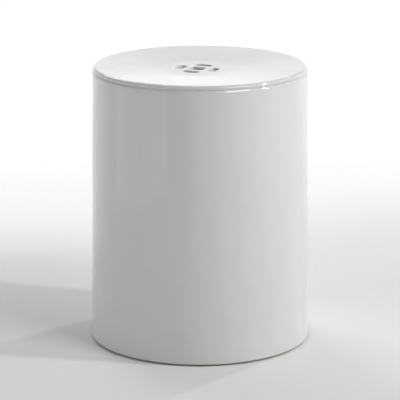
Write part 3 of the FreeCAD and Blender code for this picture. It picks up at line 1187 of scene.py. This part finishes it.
@dataclass
class SlipBeads:
    """The two beads of slip wiped into the corners under the seat and over the base ring."""

    sizes: StoolSizes
    finish: Material
    unevenness: Unevenness
    ease: float = 1.0 * MM
    off_wall: tuple[float, float] = (1.2 * MM, 4.0 * MM)
    off_slab: tuple[float, float] = (0.2 * MM, 2.0 * MM)
    arc_steps: int = 10
    steps: int = 288

    def hollow(self, start: tuple[float, float], end: tuple[float, float]) -> list[tuple[float, float]]:
        """Give the points of a bead's hollow face, which bows towards its corner.

        Args:
            start: Radius and height of its first point.
            end: Radius and height of its last point.

        Returns:
            The points between, and the last one.
        """
        radius = self.sizes.bead + self.ease
        chord = math.dist(start, end)
        middle = ((start[0] + end[0]) / 2, (start[1] + end[1]) / 2)
        sideways = ((end[1] - start[1]) / chord, -(end[0] - start[0]) / chord)
        rise = math.sqrt(radius**2 - (chord / 2) ** 2)
        toward_axis = -1.0 if sideways[0] > 0 else 1.0
        centre = (middle[0] + sideways[0] * rise * toward_axis, middle[1] + sideways[1] * rise * toward_axis)
        first = math.atan2(start[1] - centre[1], start[0] - centre[0])
        turn = math.remainder(math.atan2(end[1] - centre[1], end[0] - centre[0]) - first, math.tau)
        return [
            (
                centre[0] + radius * math.cos(first + turn * step / self.arc_steps),
                centre[1] + radius * math.sin(first + turn * step / self.arc_steps),
            )
            for step in range(1, self.arc_steps + 1)
        ]

    def bead(self, name: str, node: str, corner: tuple[float, float], up: float) -> None:
        """Model one bead.

        Args:
            name: Name of the piece.
            node: CAD node that it stands for.
            corner: Radius and height of the corner that it fills.
            up: 1 where the bead climbs the wall from the corner, -1 where it hangs down it.
        """
        sizes = self.sizes
        far = corner[1] + up * sizes.bead
        on_wall = (sizes.inner_radius(far), far)
        on_slab = (corner[0] - sizes.bead, corner[1])
        drawn = Outline([corner, on_wall])
        drawn.points.extend(self.hollow(on_wall, on_slab))
        bead = drawn.turn(name, self.steps, closed=True)
        weigh(bead, "open_slip", lambda place: eased(corner[0] - from_axis(place), *self.off_wall) * eased(
            abs(place.z - corner[1]), *self.off_slab))
        self.unevenness.press(bead, "open_slip")
        smooth(bead, corner=40)
        hand_over(bead, name, self.finish, Slot.SLIP, node)

    def build(self) -> None:
        """Model both beads."""
        sizes = self.sizes
        high = sizes.joint - sizes.glaze
        low = sizes.ring_top
        self.bead("seat_joint_bead", "seat_joint_slip", (sizes.inner_radius(high), high), up=-1.0)
        self.bead("base_joint_bead", "base_joint_slip", (sizes.inner_radius(low), low), up=1.0)


@dataclass
class FeltPads:
    """Six felt discs under the foot, each a little different where it was pressed on."""

    sizes: StoolSizes
    finish: Material
    unevenness: Unevenness
    rounding: float = 0.5 * MM
    turn: float = 37.0
    even: float = 0.9
    rings: tuple[float, ...] = (0.128, 0.24, 0.272)
    points: int = 56

    def pad(self, number: int) -> None:
        """Model one pad in the place of its CAD node."""
        low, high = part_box(f"foot_pad_{number}")
        middle = (low + high) / 2
        disc = start_shape(
            "cylinder",
            vertices=self.points,
            radius=self.sizes.pad_radius,
            depth=high.z - low.z,
            location=middle,
            rotation=(0.0, 0.0, math.radians(self.turn * number)),
        )
        settle(disc)
        open_mesh(disc, "EDGE")
        pick(disc, "edges", lambda edge: all(abs(vertex.co.z - low.z) < SAME_PLACE for vertex in edge.verts))
        bpy.ops.mesh.bevel(offset=self.rounding, segments=3, profile=0.5, affect="EDGES")
        bpy.ops.mesh.select_all(action="DESELECT")
        bpy.ops.mesh.select_mode(type="FACE")
        pick(disc, "faces", lambda face: len(face.verts) == self.points)
        for share in self.rings:
            bpy.ops.mesh.inset(thickness=self.sizes.pad_radius * share, depth=0.0, use_individual=True)
        close_mesh()
        even = (self.sizes.pad_radius - SET_BACK) * self.even
        weigh(disc, "open_felt", lambda place: float(from_axis(place - middle) > even))
        self.unevenness.press(disc, "open_felt")
        smooth(disc, corner=50)
        hand_over(disc, f"felt_pad_{number}", self.finish, Slot.FELT, f"foot_pad_{number}")

    def build(self) -> None:
        """Model all the pads."""
        for number in range(1, PAD_COUNT + 1):
            self.pad(number)


# Studio.


@dataclass(frozen=True)
class SoftLight:
    """One soft box, placed round the stool: its azimuth runs from +X towards the camera."""

    name: str
    azimuth: float
    elevation: float
    distance: float
    size: tuple[float, float]
    watts: float

    def build(self, aim: Place) -> None:
        """Hang the light.

        Args:
            aim: The place that it is turned towards.
        """
        light = hang(self.name, *self.size)
        light.data.energy = self.watts
        around, up = math.radians(self.azimuth), math.radians(self.elevation)
        away = Vector((math.cos(around) * math.cos(up), -math.sin(around) * math.cos(up), math.sin(up)))
        light.location = Vector(aim) + away * self.distance
        light.rotation_euler = away.to_track_quat("Z", "Y").to_euler()


@dataclass(frozen=True)
class SkyPatch:
    """Soft patch of light in the surroundings, with its azimuth counted like a soft light's.

    Its width and height are the angles from its brightest point to where it has faded away.
    """

    azimuth: float
    elevation: float
    width: float
    height: float
    strength: float

    def lay(self, sheet: NodeSheet, around: object, up: object) -> NodeSocket:
        """Draw the patch.

        Args:
            sheet: The nodes of the surroundings.
            around: The azimuth looked in.
            up: The elevation looked in.

        Returns:
            The patch's brightness.
        """
        aside = sheet.math("SUBTRACT", around, math.radians(self.azimuth))
        aside = sheet.math("WRAP", aside, math.pi, -math.pi)
        above = sheet.math("SUBTRACT", up, math.radians(self.elevation))
        strength = self.strength
        for offset, reach in ((aside, self.width), (above, self.height)):
            share = sheet.math("DIVIDE", sheet.math("ABSOLUTE", offset), math.radians(reach))
            fade = sheet.math("MAXIMUM", sheet.math("SUBTRACT", 1.0, share), 0.0)
            strength = sheet.math("MULTIPLY", fade, strength)
        return strength


@dataclass(frozen=True)
class FillBoard:
    """White board that stands on the floor at the left and lights the shaded side."""

    near: tuple[float, float] = (-0.81, -1.26)
    far: tuple[float, float] = (-1.22, 0.05)
    height: float = 1.2
    radiance: float = 0.65

    def build(self) -> None:
        """Stand the board up as a weak light that faces the stool."""
        start, end = Vector((*self.near, 0.0)), Vector((*self.far, 0.0))
        along = (end - start).normalized()
        facing = Vector((-along.y, along.x, 0.0))
        middle = (start + end) / 2 + Vector((0.0, 0.0, self.height / 2))
        if facing.dot(-middle) < 0:
            facing = -facing
        board = hang("fill_board", (end - start).length, self.height)
        board.data.energy = self.radiance * math.pi * board.data.size * board.data.size_y
        board.location = middle
        board.rotation_euler = facing.to_track_quat("-Z", "Y").to_euler()


@dataclass
class Studio:
    """Pale floor, soft lights and the camera."""

    camera_back: float = 3.665
    camera_height: float = 1.175
    camera_pitch: float = 14.52
    camera_lens: float = 209.25
    floor_radius: float = 30.0
    aim: Place = (0.0, 0.0, 0.22)
    board: FillBoard = FillBoard()
    lights: tuple[SoftLight, ...] = (
        SoftLight("key_box", azimuth=13.5, elevation=31.0, distance=3.5, size=(0.28, 0.28), watts=38.0),
        SoftLight("front_box", azimuth=43.0, elevation=44.0, distance=3.4, size=(1.3, 0.9), watts=36.0),
        SoftLight("back_box", azimuth=-46.0, elevation=40.0, distance=3.5, size=(0.22, 0.22), watts=18.0),
        SoftLight("left_back_box", azimuth=242.0, elevation=42.0, distance=3.6, size=(1.6, 1.4), watts=27.0),
    )
    surroundings: tuple[SkyPatch, ...] = (
        SkyPatch(azimuth=0.0, elevation=90.0, width=ALL_ROUND, height=38.0, strength=0.6),
        SkyPatch(azimuth=0.0, elevation=32.0, width=45.0, height=17.0, strength=1.2),
        SkyPatch(azimuth=-100.0, elevation=4.0, width=80.0, height=44.0, strength=2.0),
    )

    def lay_floor(self) -> None:
        """Lay the pale floor."""
        ground = start_shape("circle", vertices=96, radius=self.floor_radius, fill_type="NGON")
        ground.name = "studio_floor"
        dress(ground, FloorFinish().make())

    def set_camera(self) -> None:
        """Set the camera where the photograph was taken from."""
        data = bpy.data.cameras.new("photo_camera")
        data.lens = self.camera_lens
        data.sensor_width = 36.0
        data.clip_end = 200.0
        camera = bpy.data.objects.new("photo_camera", data)
        camera.location = (0.0, -self.camera_back, self.camera_height)
        camera.rotation_euler = (math.radians(90.0 - self.camera_pitch), 0.0, 0.0)
        bpy.context.scene.collection.objects.link(camera)
        bpy.context.scene.camera = camera

    def light_sky(self) -> None:
        """Surround the set with soft patches of light."""
        world = bpy.data.worlds.new("studio_surroundings")
        world.use_nodes = True
        world.node_tree.nodes.clear()
        sheet = NodeSheet(world.node_tree)
        look = sheet.split(sheet.add("ShaderNodeTexCoord").outputs["Generated"])
        up = sheet.math("ARCSINE", look["Z"])
        around = sheet.math("ARCTAN2", sheet.math("MULTIPLY", look["Y"], -1.0), look["X"])
        light = 0.0
        for patch in self.surroundings:
            light = sheet.math("ADD", patch.lay(sheet, around, up), light)
        glow = sheet.add("ShaderNodeBackground")
        sheet.feed(glow.inputs["Strength"], light)
        out = sheet.add("ShaderNodeOutputWorld")
        sheet.feed(out.inputs["Surface"], glow.outputs[0])
        bpy.context.scene.world = world

    def build(self) -> None:
        """Set up the whole studio."""
        self.lay_floor()
        self.set_camera()
        self.light_sky()
        for light in self.lights:
            light.build(self.aim)
        self.board.build()
        bpy.context.scene.view_settings.view_transform = "Standard"


def main() -> None:
    """Build the stool and its studio."""
    logging.basicConfig(level=logging.INFO, format="%(name)s: %(message)s")
    sizes = StoolSizes.from_frame()
    coin = Coin()
    shared = SharedNodes()
    glaze = GlazeFinish().make(shared, sizes.joint, sizes.glaze_end)
    clay = ClayFinish().make(shared)
    slip = SlipFinish().make(shared)
    felt = FeltFinish().make(shared)
    glaze_unevenness = Unevenness(depth=0.7 * MM, width=90.0 * MM)
    ClaySlab(sizes, coin, clay).build()
    ClayDrum(sizes, clay).build()
    ClayRing(sizes, clay, Unevenness(depth=0.5 * MM, width=30.0 * MM)).build()
    SlipBeads(sizes, slip, Unevenness(depth=1.2 * MM, width=12.0 * MM)).build()
    FeltPads(sizes, felt, Unevenness(depth=0.25 * MM, width=5.0 * MM)).build()
    GlazedSeat(sizes, coin, glaze, glaze_unevenness).build()
    GlazedDrum(sizes, glaze, glaze_unevenness).build()
    Studio().build()


if __name__ == "__main__":
    main()
